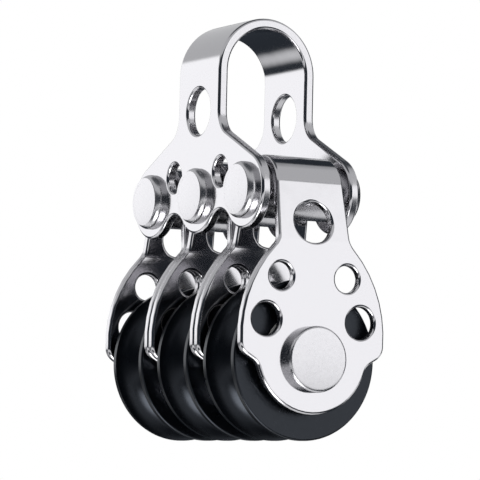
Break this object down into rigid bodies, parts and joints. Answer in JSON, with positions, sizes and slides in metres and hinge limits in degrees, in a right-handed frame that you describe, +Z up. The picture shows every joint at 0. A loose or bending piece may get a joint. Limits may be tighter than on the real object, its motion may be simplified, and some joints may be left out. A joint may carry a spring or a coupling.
{
  "type": "triple block",
  "caption": "Small-boat rope block: sheaves side by side on a common axle, each in its own folded steel strap, hung from a bent strip bail with a clevis-pin hole.",
  "frame": {"origin": "the middle of the clevis-pin bore, between the bail's legs", "axes": "+X along the clevis pin and the rivets, +Y along the sheave axle (front strap at -Y), +Z up, from the sheaves to the bail's arch"},
  "size_m": [0.0226, 0.043, 0.0591],
  "materials": {
    "polished_stainless": "stainless sheet, tumbled and polished bright",
    "satin_stainless": "turned stainless, satin faces",
    "black_acetal": "moulded black acetal, smooth",
    "white_acetal": "white acetal, smooth"
  },
  "bodies": {
    "block": {"bail": "polished_stainless", "axle": "satin_stainless", "strap_front": "polished_stainless", "rivet_front": "satin_stainless", "spacer_front": "satin_stainless", "hub_front": "satin_stainless", "side_washer_front_near": "white_acetal", "side_washer_front_far": "white_acetal", "strap_middle": "polished_stainless", "rivet_middle": "satin_stainless", "spacer_middle": "satin_stainless", "hub_middle": "satin_stainless", "side_washer_middle_near": "white_acetal", "side_washer_middle_far": "white_acetal", "strap_rear": "polished_stainless", "rivet_rear": "satin_stainless", "spacer_rear": "satin_stainless", "hub_rear": "satin_stainless", "side_washer_rear_near": "white_acetal", "side_washer_rear_far": "white_acetal"},
    "sheave_front": {"sheave_front": "black_acetal"},
    "balls_front": {"balls_front_near": "white_acetal", "balls_front_far": "white_acetal"},
    "sheave_middle": {"sheave_middle": "black_acetal"},
    "balls_middle": {"balls_middle_near": "white_acetal", "balls_middle_far": "white_acetal"},
    "sheave_rear": {"sheave_rear": "black_acetal"},
    "balls_rear": {"balls_rear_near": "white_acetal", "balls_rear_far": "white_acetal"}
  },
  "joints": [
    {"name": "sheave_front_spin", "type": "hinge", "parent": "block", "child": "sheave_front", "pos_m": [0, -0.0133, -0.0349], "axis": [0, 1, 0], "continuous": true},
    {"name": "balls_front_spin", "type": "hinge", "parent": "block", "child": "balls_front", "pos_m": [0, -0.0133, -0.0349], "axis": [0, 1, 0], "continuous": true},
    {"name": "sheave_middle_spin", "type": "hinge", "parent": "block", "child": "sheave_middle", "pos_m": [0, 0, -0.0349], "axis": [0, 1, 0], "continuous": true},
    {"name": "balls_middle_spin", "type": "hinge", "parent": "block", "child": "balls_middle", "pos_m": [0, 0, -0.0349], "axis": [0, 1, 0], "continuous": true},
    {"name": "sheave_rear_spin", "type": "hinge", "parent": "block", "child": "sheave_rear", "pos_m": [0, 0.0133, -0.0349], "axis": [0, 1, 0], "continuous": true},
    {"name": "balls_rear_spin", "type": "hinge", "parent": "block", "child": "balls_rear", "pos_m": [0, 0.0133, -0.0349], "axis": [0, 1, 0], "continuous": true}
  ],
  "couplings": [
    {"joint": "balls_front_spin", "follows": "sheave_front_spin", "ratio": 0.6398},
    {"joint": "balls_middle_spin", "follows": "sheave_middle_spin", "ratio": 0.6398},
    {"joint": "balls_rear_spin", "follows": "sheave_rear_spin", "ratio": 0.6398}
  ]
}
